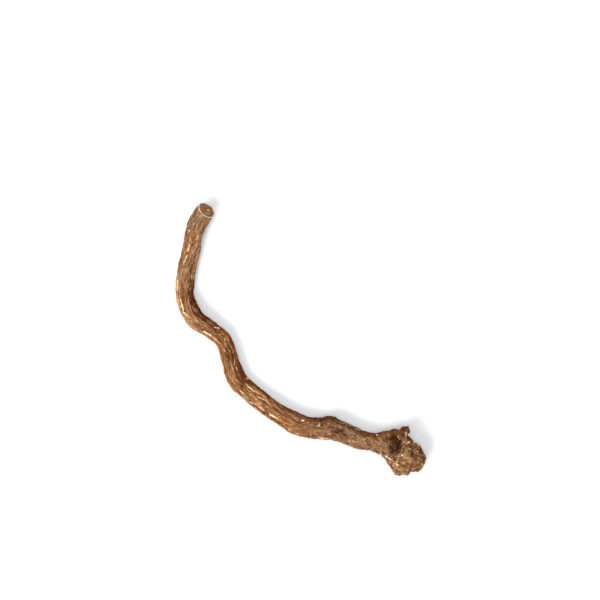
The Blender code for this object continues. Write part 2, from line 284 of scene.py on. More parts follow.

# Pale places, from above: worn places where the pale inner bark shows, thin painted highlights along lit
# edges and crests, and broad faint patches of painted light: x and y of each end, half width, and how pale.
PALE_AND_HIGHLIT_MARKS = (
    (-44.6, 40.2, -44.8, 38.8, 0.16, 0.50),
    (-44.8, 38.4, -45.5, 35.2, 0.18, 0.95),
    (-45.9, 33.4, -46.5, 31.6, 0.17, 1.00),
    (-46.7, 31.0, -47.1, 30.5, 0.26, 1.00),
    (-41.2, 41.7, -42.0, 39.5, 0.18, 0.75),
    (-42.9, 46.2, -43.0, 45.8, 0.16, 0.50),
    (-45.3, 43.7, -44.9, 43.4, 0.22, 0.95),
    (-44.5, 41.0, -44.7, 39.8, 0.14, 0.40),
    (-49.5, 23.4, -49.6, 19.4, 0.16, 0.80),
    (-48.9, 18.8, -48.8, 18.3, 0.20, 0.70),
    (-48.4, 16.2, -47.9, 13.6, 0.16, 0.85),
    (-47.9, 13.6, -47.3, 11.6, 0.20, 1.00),
    (-47.0, 10.8, -45.7, 9.3, 0.18, 0.90),
    (-45.2, 8.8, -45.0, 8.6, 0.22, 0.90),
    (-44.4, 7.6, -43.3, 6.3, 0.16, 0.55),
    (-44.0, 25.6, -44.1, 23.9, 0.14, 0.70),
    (-44.4, 22.2, -44.5, 19.6, 0.15, 0.55),
    (-45.4, 22.2, -45.6, 20.6, 0.14, 0.45),
    (-47.1, 27.2, -47.1, 24.2, 0.24, 0.30),
    (-39.2, 3.2, -38.0, 2.4, 0.20, 0.95),
    (-38.0, 2.4, -36.2, 1.4, 0.20, 0.85),
    (-34.9, 4.7, -34.2, 4.5, 0.18, 0.85),
    (-33.6, 4.4, -33.0, 4.2, 0.16, 0.80),
    (-32.9, 2.1, -32.6, 1.6, 0.20, 0.75),
    (-30.9, 0.5, -30.7, -0.5, 0.18, 0.95),
    (-30.6, -1.6, -30.5, -3.2, 0.16, 0.60),
    (-31.3, -3.9, -30.3, -5.4, 0.15, 0.70),
    (-27.0, -8.2, -26.8, -10.5, 0.18, 0.70),
    (-26.2, -11.2, -25.8, -12.3, 0.17, 0.60),
    (-21.8, -15.3, -21.5, -15.8, 0.24, 0.95),
    (-22.4, -17.9, -21.1, -19.3, 0.18, 0.90),
    (-21.1, -19.3, -19.1, -21.0, 0.20, 0.95),
    (-17.7, -23.0, -15.8, -24.0, 0.22, 1.00),
    (-15.8, -24.0, -14.0, -24.6, 0.18, 0.75),
    (-14.0, -24.6, -12.6, -26.5, 0.16, 0.85),
    (-24.7, -20.7, -23.3, -21.7, 0.17, 0.80),
    (-23.0, -22.0, -21.0, -24.2, 0.15, 0.65),
    (-18.6, -25.6, -15.0, -28.4, 0.13, 0.55),
    (-20.4, -22.0, -17.6, -24.6, 0.14, 0.60),
    (-20.6, -25.1, -19.4, -26.4, 0.17, 0.85),
    (-17.4, -27.3, -16.4, -28.1, 0.16, 0.60),
    (-12.6, -30.0, -10.7, -31.0, 0.18, 0.95),
    (-10.7, -31.0, -9.3, -31.8, 0.17, 0.70),
    (-7.3, -34.1, -7.0, -34.4, 0.20, 0.60),
    (-5.0, -35.9, -4.0, -36.5, 0.16, 0.60),
    (0.3, -32.5, 0.8, -32.6, 0.24, 1.00),
    (2.2, -33.3, 2.5, -33.4, 0.18, 0.70),
    (3.5, -38.1, 3.8, -38.2, 0.20, 0.80),
    (7.2, -33.5, 7.1, -34.5, 0.17, 1.00),
    (7.1, -34.5, 6.1, -34.9, 0.15, 0.75),
    (11.3, -38.0, 11.6, -38.3, 0.20, 0.70),
    (14.7, -32.8, 17.2, -34.0, 0.15, 0.55),
    (17.2, -34.0, 19.8, -34.8, 0.15, 0.55),
    (21.0, -35.4, 23.3, -36.4, 0.15, 0.50),
    (6.6, -39.5, 10.8, -40.1, 0.15, 0.60),
    (10.8, -40.1, 14.5, -41.1, 0.14, 0.45),
    (18.9, -40.5, 19.2, -40.6, 0.20, 0.60),
    (29.8, -38.0, 30.3, -38.3, 0.24, 0.80),
    (31.4, -45.8, 32.0, -46.2, 0.18, 0.75),
    (33.7, -46.8, 34.2, -47.2, 0.19, 0.95),
    (34.2, -47.2, 35.8, -48.6, 0.15, 0.70),
    (38.4, -38.7, 39.2, -40.1, 0.18, 0.80),
    (38.4, -40.6, 38.5, -40.7, 0.18, 0.50),
    (40.1, -46.3, 40.3, -46.5, 0.30, 1.00),
    (38.3, -48.9, 38.4, -49.3, 0.24, 1.00),
    (37.7, -49.6, 38.6, -50.4, 0.22, 1.00),
    (41.5, -38.4, 41.9, -40.8, 0.42, 0.33),
    (41.8, -37.6, 42.6, -38.3, 0.34, 0.50),
    (42.0, -41.7, 43.2, -41.2, 0.24, 0.80),
    (46.2, -42.0, 46.8, -42.8, 0.24, 1.00),
    (41.4, -44.6, 44.0, -43.8, 0.26, 0.35),
    (41.4, -46.6, 43.6, -48.2, 1.60, 0.30),
    (-22.2, -18.4, -16.4, -23.2, 0.80, 0.26),
    (-16.4, -23.2, -10.6, -27.2, 0.80, 0.24),
    (-26.8, -22.6, -18.6, -26.4, 0.50, 0.24),
    (-40.2, 42.8, -41.7, 34.4, 0.75, 0.24),
    (-41.7, 34.4, -43.6, 24.0, 0.75, 0.24),
    (40.0, -54.3, 40.8, -54.2, 0.20, 0.70),
    (48.2, -49.6, 48.5, -50.6, 0.20, 0.70),
)
# Ochre places, where the dried juice or the core shows, and small golden painted highlights on the crown.
OCHRE_AND_GLINT_MARKS = (
    (41.2, -41.2, 41.4, -41.4, 0.19, 1.00),
    (41.0, -38.1, 41.3, -38.3, 0.18, 0.80),
    (38.6, -50.4, 39.6, -51.0, 0.24, 0.80),
    (34.8, -47.8, 35.9, -48.7, 0.24, 0.45),
    (45.2, -49.0, 45.4, -49.3, 0.18, 0.75),
    (46.4, -49.1, 46.5, -49.5, 0.20, 0.95),
    (48.0, -50.9, 48.2, -51.9, 0.24, 0.60),
    (38.2, -54.4, 38.6, -54.6, 0.20, 0.45),
    (25.4, -41.7, 25.7, -41.9, 0.24, 0.95),
    (-18.0, -20.6, -14.6, -23.0, 0.50, 0.30),
    (-14.6, -36.6, -8.6, -34.4, 0.60, 0.20),
)
# Slits and creases, cut into the surface and painted dark as their shade: x and y of each end, half width,
# and how deep.
SLITS = (
    (-46.6, 44.6, -44.6, 43.9, 0.22, 0.40),
    (16.9, -38.2, 17.7, -38.4, 0.32, 0.55),
    (12.2, -36.2, 15.2, -36.3, 0.15, 0.16),
    (12.6, -36.8, 16.0, -36.9, 0.17, 0.24),
    (13.0, -37.4, 15.8, -37.5, 0.15, 0.18),
    (32.5, -45.4, 33.0, -46.0, 0.32, 0.40),
    (38.4, -36.4, 39.4, -37.6, 0.28, 0.50),
    (39.4, -37.6, 40.6, -38.6, 0.26, 0.40),
    (39.1, -39.8, 39.2, -41.8, 0.34, 0.75),
    (39.2, -41.8, 38.4, -43.8, 0.36, 0.80),
    (38.4, -43.8, 38.0, -44.8, 0.32, 0.60),
    (38.4, -45.5, 39.5, -44.9, 0.26, 0.45),
    (35.2, -40.4, 36.6, -39.4, 0.26, 0.30),
    (35.4, -42.4, 36.4, -43.6, 0.28, 0.35),
    (36.4, -43.8, 37.2, -44.6, 0.26, 0.35),
    (42.9, -37.2, 43.1, -38.9, 0.26, 0.35),
    (41.2, -42.1, 42.2, -42.8, 0.26, 0.45),
    (43.0, -41.8, 43.5, -42.9, 0.26, 0.35),
    (42.9, -44.4, 44.2, -45.4, 0.22, 0.16),
    (45.0, -46.8, 44.9, -48.4, 0.26, 0.14),
    (40.8, -48.8, 42.8, -48.8, 0.24, 0.32),
    (39.9, -47.1, 40.1, -47.3, 0.26, 0.35),
    (40.1, -45.5, 40.3, -45.7, 0.22, 0.30),
    (37.0, -47.4, 37.5, -48.8, 0.26, 0.30),
    (38.8, -49.1, 39.0, -49.4, 0.20, 0.28),
    (43.8, -50.6, 43.6, -52.8, 0.34, 0.45),
    (46.8, -44.2, 47.8, -45.8, 0.26, 0.30),
    (26.4, -42.0, 28.4, -43.4, 0.22, 0.20),
)
# Broad dark patches: painted shade in the crown's hollow, the neck's hollow and the bend's crease, and ruddy
# bark on the leaf stub and the crown's right lobe: x and y of each end, half width, and how dark.
SHADE_AND_RUDDY_MARKS = (
    (37.6, -39.6, 37.2, -44.4, 1.90, 0.85),
    (36.8, -39.0, 38.0, -40.6, 1.10, 1.00),
    (40.2, -36.2, 43.0, -35.2, 1.15, 1.00),
    (39.8, -41.0, 40.8, -44.2, 0.80, 0.75),
    (45.6, -46.8, 48.8, -48.2, 0.90, 0.45),
    (43.6, -45.0, 45.0, -48.0, 0.80, 0.40),
    (43.4, -40.6, 46.6, -42.2, 0.45, 0.70),
    (12.6, -36.8, 16.2, -36.9, 0.80, 0.52),
    (33.4, -40.4, 34.8, -42.8, 1.40, 0.30),
    (35.6, -50.2, 43.0, -52.4, 2.20, 0.15),
    (-45.2, 13.2, -42.6, 10.4, 0.30, 0.60),
    (-46.0, 16.8, -44.6, 12.6, 0.80, 0.34),
)
# How a mark is drawn, in half widths: where its edge starts to fade and where it ends, how far off it is
# still looked for, and how ragged it is. One wave of that raggedness is this many millimetres long.
MARK_FADE = (0.2, 1.9)
MARK_REACH = 2.2
MARK_RAGGED = 0.45
MARK_RAGGED_SIZE = 0.55
# Pale marks, worn places and painted highlights alike, are raised as crests.
PALE_RISE = 0.14  # how far a worn crest stands out
# Slits and long furrows are painted dark as their shade.
BLACK_DEPTH = 0.35  # a slit this deep is painted black
FURROW_BLACKNESS = 0.85  # how black a long furrow is for each millimetre of its depth
# The marks fade out where the surface's normal is lower than these heights, on the bark and on the crown.
MARKED_SLOPES = (0.02, 0.32)
CROWN_MARKED_SLOPES = (0.16, 0.60)
# The relief fades out this far from the cut, and partly at the crown's end.
EDGE_FADE = 1.2
END_FADE = 2.0
END_CALM = 0.6

# Small scars of side roots, scattered all over. Their lip and pit are at shares of a scar's reach.
SCARS = 46
SCAR_SEED = 12
SCARS_START = 6.0
SCAR_REACH = (0.45, 0.95)
SCAR_FARTHEST = 1.2  # no scar is felt further along the root than this
SCAR_SHORTNESS = 0.55
SCAR_HEIGHT = 0.22
SCAR_PALENESS = 0.35
SCAR_EDGE = 1.6
SCAR_LIP = 0.9
SCAR_LIP_WIDTH = 0.35
SCAR_PIT = 0.5

# Noise patterns of the paint: how fine they are by x, y and z, their detail, roughness and distortion, and
# the values of the noise that become 0 and 1.
STREAKS = ((1.5, 1.5, 0.28), 4.0, 0.62, 0.4, 0.34, 0.66)
THREADS = ((2.7, 2.7, 0.55), 3.0, 0.60, 0.6, 0.37, 0.63)
BLOTCHES = ((0.42, 0.42, 0.16), 3.0, 0.55, 0.0, 0.46, 0.62)
GRIT = ((2.1, 2.1, 2.1), 3.0, 0.70, 0.0, 0.30, 0.70)
CRUMBS = ((0.55, 0.55, 0.55), 4.0, 0.62, 0.0, 0.34, 0.66)
RED_CLOUDS = ((0.75, 0.75, 0.75), 3.0, 0.70, 0.0, 0.50, 0.66)
YELLOW_CLOUDS = ((0.95, 0.95, 1.00), 3.0, 0.70, 0.0, 0.50, 0.66)
GREY_CLOUDS = ((0.80, 0.80, 0.30), 3.0, 0.70, 0.0, 0.50, 0.66)
SPECKS = ((1.25, 1.25, 1.25), 2.0, 0.60, 0.0, 0.64, 0.74)
PORES = ((1.45, 1.45, 1.30), 2.0, 0.60, 0.0, 0.64, 0.74)
CUT_PATCHES = ((0.55, 0.55, 0.55), 2.0, 0.60, 0.0, 0.48, 0.60)
CUT_FLECKS = ((0.85, 0.85, 0.85), 2.0, 0.50, 0.0, 0.56, 0.66)
# The mottling of the cut stays plain noise, so it ends at the distortion.
CUT_MOTTLING = ((1.6, 1.6, 1.6), 4.0, 0.65, 0.0)

# Colours, as linear red, green and blue. A scale of tones is a list of values with the colour at each.
# The bark's browns, picked by how much of a crest a place is and by its grain: crests are painted lighter and
# the hollows between them darker, partly as painted highlight and shade.
BARK_TONES = (
    (0.14, (0.036, 0.014, 0.005)),
    (0.30, (0.095, 0.039, 0.015)),
    (0.50, (0.195, 0.092, 0.039)),
    (0.68, (0.305, 0.160, 0.075)),
    (0.90, (0.520, 0.335, 0.185)),
)
RED_BARK = (0.270, 0.112, 0.066)
YELLOW_BARK = (0.300, 0.165, 0.042)
GREY_BARK = (0.160, 0.115, 0.080)
DUSTY_BARK = (0.215, 0.135, 0.083)
PALE_SPECK = (0.520, 0.360, 0.200)
DARK_PORE = (0.040, 0.018, 0.009)
CRUST_BROWN = (0.150, 0.098, 0.050)
WORN_AND_LIT_CREST = (0.540, 0.345, 0.180)
JUICE_AND_GLINT_OCHRE = (0.700, 0.340, 0.070)
CREASE_SHADE_COLOUR = (0.040, 0.017, 0.008)
PALE_TONES = (
    (0.10, (0.300, 0.160, 0.072)),
    (0.35, (0.480, 0.300, 0.150)),
    (0.60, (0.710, 0.475, 0.250)),
    (0.95, (0.890, 0.710, 0.480)),
)
# Colours that the bark's own is multiplied by: in the dark patches, which are painted shade in hollows and
# ruddy bark, in the painted shade of the left flank, and at shares of the root's length from the tail to the
# crown.
SHADE_AND_RUDDY_TINT = (0.310, 0.142, 0.040)
FLANK_SHADE_TINT = (1.20, 0.95, 0.64)
TINTS_ALONG = (
    (0.00, (0.97, 0.97, 1.06)),
    (0.03, (0.97, 0.97, 1.04)),
    (0.08, (1.12, 1.02, 0.93)),
    (0.28, (1.08, 0.99, 0.91)),
    (0.38, (1.00, 0.79, 0.58)),
    (0.64, (1.00, 0.79, 0.58)),
    (0.72, (0.84, 0.76, 0.76)),
    (0.92, (0.86, 0.81, 0.80)),
    (1.00, (0.96, 0.76, 0.53)),
)
# The cut, by how far out a place is: the yellow pith, then brown flesh in faint rings.
CUT_TONES = (
    (0.14, (0.940, 0.520, 0.110)),
    (0.22, (0.110, 0.036, 0.011)),
    (0.32, (0.340, 0.160, 0.068)),
    (0.58, (0.260, 0.115, 0.048)),
    (0.74, (0.360, 0.175, 0.080)),
    (0.84, (0.130, 0.050, 0.022)),
)
CUT_MOTTLE_TINTS = (
    (0.32, (0.30, 0.26, 0.22)),
    (0.66, (1.15, 1.10, 1.00)),
)
CUT_DARK_PATCH = (0.105, 0.044, 0.022)
CUT_PALE_FLECK = (0.600, 0.350, 0.210)
CUT_RAY = (0.370, 0.215, 0.105)
CUT_CREAM = (0.780, 0.640, 0.440)
CUT_PALEST = (1.000, 0.950, 0.820)

# The finish of the bark. The bump's depth is in metres.
GLOSS = 0.06
BUMP_STRENGTH = 0.90
BUMP_DEPTH = 0.00020

# The floor, and soft studio lights: name, place, width, power and colour. Lengths here are metres.
FLOOR_SIZE = 1.5
FLOOR_GREY = (0.66, 0.66, 0.66)
FLOOR_ROUGHNESS = 0.9
LIGHTS = (
    ("key", (-0.60, -0.62, 0.80), 0.85, 21.0, (1.0, 0.97, 0.93)),
    ("fill", (0.10, 0.20, 1.30), 1.20, 19.0, (0.95, 0.98, 1.0)),
)
SKY_COLOUR = (0.96, 0.97, 1.0)
SKY_STRENGTH = 0.30


def between(before, start, end, after, t):
    """A Catmull-Rom curve through start and end."""
    return (
        start * 2.0
        + (end - before) * t
        + (before * 2.0 - start * 5.0 + end * 4.0 - after) * t**2
        + (start * 3.0 - before - end * 3.0 + after) * t**3
    ) * 0.5


def trace_line():
    """Closely spaced (distance along, centre, thickness) on the middle line."""
    rows = []
    for x, y, gap, thickness in STATIONS:
        rows.append(Vector((x, y, gap + thickness * HEIGHT_SHARE / 2.0, thickness)))
    rows = [rows[0] * 2.0 - rows[1], *rows, rows[-1] * 2.0 - rows[-2]]
    line = []
    distance = 0.0
    for i in range(1, len(rows) - 2):
        for step in range(SAMPLES_PER_STATION):
            point = between(*rows[i - 1 : i + 3], step / SAMPLES_PER_STATION)
            centre = point.to_3d()
            if line:
                distance += (centre - line[-1][1]).length
            line.append((distance, centre, point[3]))
    return line


LINE = trace_line()
DISTANCES = [row[0] for row in LINE]
LENGTH = DISTANCES[-1]


def middle(along):
    """(centre, thickness) of the root at a distance from the tail."""
    i = min(max(bisect.bisect(DISTANCES, along), 1), len(LINE) - 1)
    start, end = LINE[i - 1], LINE[i]
    t = (along - start[0]) / (end[0] - start[0])
    return start[1].lerp(end[1], t), start[2] + (end[2] - start[2]) * t


def heading(along):
    """The root's direction towards the crown, the side to its right, and the way up from it."""
    ahead = middle(along + TANGENT_REACH)[0]
    behind = middle(along - TANGENT_REACH)[0]
    forward = (ahead - behind).normalized()
    right = forward.cross(Vector((0.0, 0.0, 1.0))).normalized()
    return forward, right, right.cross(forward)


def ease(value, start, end):
    """0 before start, 1 after end, and a smooth rise between."""
    t = min(max((value - start) / (end - start), 0.0), 1.0)
    return t * t * (3.0 - 2.0 * t)


def furrow_depth(along, angle, radius):
    """How deep the long furrows lie under the surface at a place."""
    depth = 0.0
    for start, end, first_angle, turn, deepest, half_width in FURROWS:
        fade = ease(along, start, start + FURROW_FADE) * (1.0 - ease(along, end - FURROW_FADE, end))
        if fade <= 0.0:
            continue
        furrow_angle = math.radians(first_angle + turn * (along - start))
        furrow_angle += DRIFT * noise.noise(Vector((along / DRIFT_LENGTH, first_angle, 0.0)))
        off = math.remainder(angle - furrow_angle, math.tau) * radius
        depth += fade * deepest * math.exp(-((off / half_width) ** 2))
    return depth


def relief(along, angle, radius):
    """The root's own unevenness at a place, outward, in millimetres."""
    crown = ease(along, LUMPS_START, LUMPS_FULL)
    round_place = Vector((math.cos(angle), math.sin(angle), 0.0))
    swell = noise.noise(Vector((along / SWELL_LENGTH, 0.0, NOISE_APART))) * SWELL
    fold = noise.noise(round_place * FOLDS_ROUND + Vector((0.0, 0.0, along / FOLD_LENGTH))) * FOLD
    lump_place = round_place * radius / LUMP_SIZE + Vector((NOISE_APART, 0.0, along / LUMP_SIZE))
    lump = noise.noise(lump_place) * LUMP
    return (swell + fold) * (1.0 - crown / 2.0) + lump * crown - furrow_depth(along, angle, radius)


def pushed(point):
    """A surface point after the knobs, hollows and the leaf stub have moved it."""
    moved = point.copy()
    for centre, reach, push in KNOBS:
        share = (point - Vector(centre)).length / reach
        if share < 1.0:
            moved += Vector(push) * (1.0 - share**2) ** 2
    share = (moved - STUB_CENTRE).length / STUB_REACH
    return moved + STUB_PUSH * (1.0 - ease(share, STUB_FLAT, 1.0))


def skin(along, angle):
    """The point of the root's surface at a distance from the tail and an angle round it."""
    _, thickness = middle(along)
    radius = thickness / 2.0
    slant = radius * (CUT_SLANT_RIGHT * math.cos(angle) + CUT_SLANT_UP * HEIGHT_SHARE * math.sin(angle))
    along = along + (slant + CUT_BACK) * (1.0 - ease(along, 0.0, CUT_FADE))
    centre, thickness = middle(along)
    _, right, up = heading(along)
    radius = thickness / 2.0
    radius += relief(along, angle, radius)
    into_end = max((along - LENGTH) / CROWN_END + 1.0, 0.0)
    radius *= max(1.0 - into_end**END_ROUNDNESS, 0.0) ** (1.0 / END_ROUNDNESS)
    across = radius * math.cos(angle)
    above = radius * math.sin(angle) * HEIGHT_SHARE
    return pushed(centre + right * across + up * above) - FOOTPRINT_MIDDLE


def ring_stops():
    """Distances along the root at which its rings lie."""
    end_start = LENGTH - CROWN_END
    stops = []
    along = 0.0
    while along < end_start:
        stops.append(along)
        along += RING_STEP
    for i in range(END_RINGS):
        stops.append(end_start + CROWN_END * math.sin(math.pi / 2.0 * i / END_RINGS))
    return stops


def extrude_ring(mesh, ring):
    """Extrudes a ring of edges, and gives the new points and the new ring."""
    grown = bmesh.ops.extrude_edge_only(mesh, edges=ring)["geom"]
    verts = [item for item in grown if isinstance(item, bmesh.types.BMVert)]
    fresh = set(verts)
    edges = [item for item in grown if isinstance(item, bmesh.types.BMEdge)]
    return verts, [edge for edge in edges if edge.verts[0] in fresh and edge.verts[1] in fresh]


def grow_tube(mesh):
    """A plain tube of rings, whose height is the distance along the root, finer at the crown."""
    bmesh.ops.create_circle(mesh, segments=SIDES, radius=1.0)
    ring = list(mesh.edges)
    for along in ring_stops()[1:]:
        verts, ring = extrude_ring(mesh, ring)
        for vert in verts:
            vert.co.z = along
    crown_edges = [edge for edge in mesh.edges if min(vert.co.z for vert in edge.verts) >= CROWN_START]
    bmesh.ops.subdivide_edges(mesh, edges=crown_edges, cuts=1, use_grid_fill=True)


def shape_skin(mesh, layers):
    """Moves the plain tube's points on to the root's surface and notes where on the bark each one is."""
    for vert in mesh.verts:
        along = vert.co.z
        angle = math.atan2(vert.co.y, vert.co.x)
        vert[layers["along"]] = along
        vert[layers["angle"]] = angle
        vert.co = skin(along, angle)


def close_crown(mesh, layers, rim):
    """Draws the crown's last ring together to one point."""
    pole = skin(LENGTH, 0.0).lerp(skin(LENGTH, math.pi), 0.5)
    bmesh.ops.pointmerge(mesh, verts=rim, merge_co=pole)
    pole_vert = min(mesh.verts, key=lambda vert: (vert.co - pole).length)
    pole_vert[layers["along"]] = LENGTH


def note_cut(vert, layers, share, upness):
    """Notes for the paint how far out on the cut a point is, how pale the rim is there, and its grain."""
    vert[layers["cut"]] = 1.0
    vert[layers["cut_reach"]] = share
    paleness = CUT_RIM_LOWEST + (1.0 - CUT_RIM_LOWEST) * ease(upness, *CUT_RIM_TURN)
    vert[layers["pale_and_highlit"]] = ease(share, CUT_RIM_INSIDE, CUT_RIM_FULL) * paleness
    angle = vert[layers["angle"]]
    round_place = Vector((math.cos(angle), math.sin(angle), share * CUT_RAY_SHORTNESS))
    vert[layers["grain"]] = round_place * CUT_RAYS


def close_tail(mesh, layers, rim):
    """Slides the tail's first ring on to the cut's plane, then fills the cut with rings down to the pith."""
    centre = middle(CUT_BACK)[0] - FOOTPRINT_MIDDLE
    forward, right, up = heading(CUT_BACK)
    for vert in rim:
        off = vert.co - centre
        slant = CUT_SLANT_RIGHT * off.dot(right) + CUT_SLANT_UP * off.dot(up)
        vert.co += forward * (slant - off.dot(forward))
    outward = (right * CUT_SLANT_RIGHT + up * CUT_SLANT_UP - forward).normalized()
    pith_shift = right * PITH_RIGHT + up * PITH_UP
    pith_shift += forward * (CUT_SLANT_RIGHT * PITH_RIGHT + CUT_SLANT_UP * PITH_UP)
    ring = [edge for edge in mesh.edges if edge.is_boundary]
    rim_of = {vert: vert.co.copy() for vert in rim}
    for share, height in CUT_RINGS:
        verts, ring = extrude_ring(mesh, ring)
        last_rim, rim_of = rim_of, {}
        for vert in verts:
            joined = [edge.other_vert(vert) for edge in vert.link_edges]
            rim_of[vert] = next(last_rim[near] for near in joined if near in last_rim)
            spread = rim_of[vert] - centre
            grain = noise.noise(spread * share / FIBRE_WIDTH) * CUT_FIBRE
            inner = centre + pith_shift * (1.0 - share)
            vert.co = inner + spread * share + outward * (height + grain)
            note_cut(vert, layers, share, spread.normalized().dot(up))
    pith = centre + pith_shift + outward * CUT_RINGS[-1][1]
    bmesh.ops.pointmerge(mesh, verts=list(rim_of), merge_co=pith)
    pith_vert = min(mesh.verts, key=lambda vert: (vert.co - pith).length)
    pith_vert[layers["cut_reach"]] = 0.0


def read_off(rows, along):
    """The value at a distance along the root, eased between the rows' own."""
    for (start, low), (end, high) in zip(rows, rows[1:]):
        if along < end:
            return low + (high - low) * ease(along, start, end)
    return rows[-1][1]


def ridged(place):
    """0 to 1, with 1 along thin crests."""
    return max(1.0 - abs(noise.noise(place)) * RIDGE_SHARPNESS, 0.0)


def crust_height(point, rim, along):
    """How high the crust stands at a place, and how much of a crest it is there, from 0 to 1."""
    place = rim / LEAF_SCAR_WIDTH + Vector((0.0, 0.0, along / LEAF_SCAR_LENGTH))
    place += noise.noise_vector(point / LEAF_SCAR_WIDTH * LEAF_SCAR_WARP_WAVES) * LEAF_SCAR_WARP
    distances, centres = noise.voronoi(place)
    tilt = LEAF_SCAR_TILT * (place - centres[0]).z
    scar = ease(distances[1] - distances[0], 0.0, CRACK_WIDTH) * (1.0 + tilt)
    bent = point + noise.noise_vector(point / CRINKLE_SIZE) * CRINKLE_WARP * CRINKLE_SIZE
    crinkle = ridged(bent / CRINKLE_SIZE)
    fine = ridged(bent / FINE_CRINKLE_SIZE)
    clod = noise.noise(point / CLOD_SIZE)
    height = LEAF_SCAR * scar + CRINKLE * crinkle + FINE_CRINKLE * fine + CLOD * clod
    crest = CRUST_CREST + LEAF_SCAR_CREST * scar
    crest += CRINKLE_CREST * crinkle + FINE_CRINKLE_CREST * fine + CLOD_CREST * clod
    return height, min(max(crest, 0.0), 1.0)


def flank_shade(point, along, angle):
    """How much painted shade, dark and ruddy, the root's left flank has at a place."""
    turned = angle % math.tau
    for swing, size in FLANK_SWINGS:
        turned += swing * noise.noise(point / size)
    start, full, fade, end = FLANK_ANGLES
    return read_off(FLANK_SHADE, along) * ease(turned, start, full) * (1.0 - ease(turned, fade, end))


def across_height(point, rim, along):
    """How high the short wrinkles across the root stand at a place."""
    window = ease(along, ACROSS_START, ACROSS_START + ACROSS_FADE)
    window *= 1.0 - ease(along, ACROSS_END - ACROSS_FADE, ACROSS_END)
    if window <= 0.0:
        return 0.0
    bend = ACROSS_BEND * noise.noise(point / ACROSS_BEND_SIZE)
    wave = ridged(Vector((along / ACROSS_PITCH + bend, 0.0, 0.0)) + rim / ACROSS_WIDTH)
    return window * ACROSS_DEPTH * (wave - ACROSS_MEAN)


def bark_height(point, along, angle, radius):
    """The bark's fine relief at a place, in millimetres, and how much of a crest it is, from 0 to 1."""
    round_place = Vector((math.cos(angle), math.sin(angle), along / WANDER_LENGTH))
    turned = angle + WANDER * noise.noise(round_place)
    turned += FINE_WANDER * noise.noise(round_place * FINE_WANDER_WAVES)
    rim = Vector((math.cos(turned), math.sin(turned), 0.0)) * radius
    wrinkle = ridged(rim / WRINKLE_WIDTH + Vector((0.0, 0.0, along / WRINKLE_LENGTH)))
    fibre = ridged(rim / FIBRE_WIDTH + Vector((NOISE_APART, 0.0, along / FIBRE_LENGTH)))
    rib = ridged(rim / RIB_WIDTH + Vector((NOISE_APART * 2.0, 0.0, along / RIB_LENGTH)))
    ribbed = read_off(RIBBED, along)
    share = read_off(CRUSTINESS, along) ** CRUST_LATENESS
    crust, crust_crest = crust_height(point, rim, along)
    height = (WRINKLE * wrinkle + FIBRE * fibre) * (1.0 - CRUST_HIDES * share) + crust * share
    height += RIB * ribbed * (rib - RIB_MEAN)
    height += across_height(point, rim, along)
    crest = WRINKLE_CREST * wrinkle + FIBRE_CREST * fibre + RIB_CREST * ribbed * rib
    return height, min(crest, 1.0) * (1.0 - share) + crust_crest * share


def off_segment(x, y, start_x, start_y, end_x, end_y):
    """How far a place is from a straight line between two others, in plan."""
    length_x, length_y = end_x - start_x, end_y - start_y
    t = ((x - start_x) * length_x + (y - start_y) * length_y) / (length_x**2 + length_y**2)
    t = min(max(t, 0.0), 1.0)
    return math.hypot(x - start_x - t * length_x, y - start_y - t * length_y)


def mark_near(marks, x, y):
    """The strongest of the marks at a place in plan, from 0 to its own strength."""
    most = 0.0
    for start_x, start_y, end_x, end_y, half_width, strength in marks:
        reach = half_width * MARK_REACH
        if not min(start_x, end_x) - reach < x < max(start_x, end_x) + reach:
            continue
        if not min(start_y, end_y) - reach < y < max(start_y, end_y) + reach:
            continue
        ragged = MARK_RAGGED * noise.noise(Vector((x, y, half_width)) / MARK_RAGGED_SIZE)
        off = off_segment(x, y, start_x, start_y, end_x, end_y) / half_width + ragged
        most = max(most, strength * (1.0 - ease(off, *MARK_FADE)))
    return most


def seen_plan(point):
    """Where on the floor the camera sees a point, in the stations' own x and y."""
    spread = CAMERA_HEIGHT / (CAMERA_HEIGHT - point.z)
    seen = CAMERA_SPOT + (point - CAMERA_SPOT) * spread + FOOTPRINT_MIDDLE
    return seen.x, seen.y


def scatter_scars():
    """Places of the small scars: distance along, angle and reach."""
    chance = random.Random(SCAR_SEED)
    scars = []
    for _ in range(SCARS):
        along = chance.uniform(SCARS_START, CROWN_START)
        angle = chance.uniform(-math.pi, math.pi)
        scars.append((along, angle, chance.uniform(*SCAR_REACH)))
    return sorted(scars)


def scar_at(scars, along, angle, radius):
    """The lip of a scar at a place, from -1 in its middle to 1 on its lip."""
    first = bisect.bisect(scars, (along - SCAR_FARTHEST,))
    for scar_along, scar_angle, reach in scars[first:]:
        if scar_along > along + SCAR_FARTHEST:
            break
        off = math.remainder(angle - scar_angle, math.tau) * radius / reach
        ahead = (along - scar_along) / (reach * SCAR_SHORTNESS)
        share = math.hypot(off, ahead)
        if share < SCAR_EDGE:
            lip = math.exp(-(((share - SCAR_LIP) / SCAR_LIP_WIDTH) ** 2))
            return lip - math.exp(-((share / SCAR_PIT) ** 2))
    return 0.0


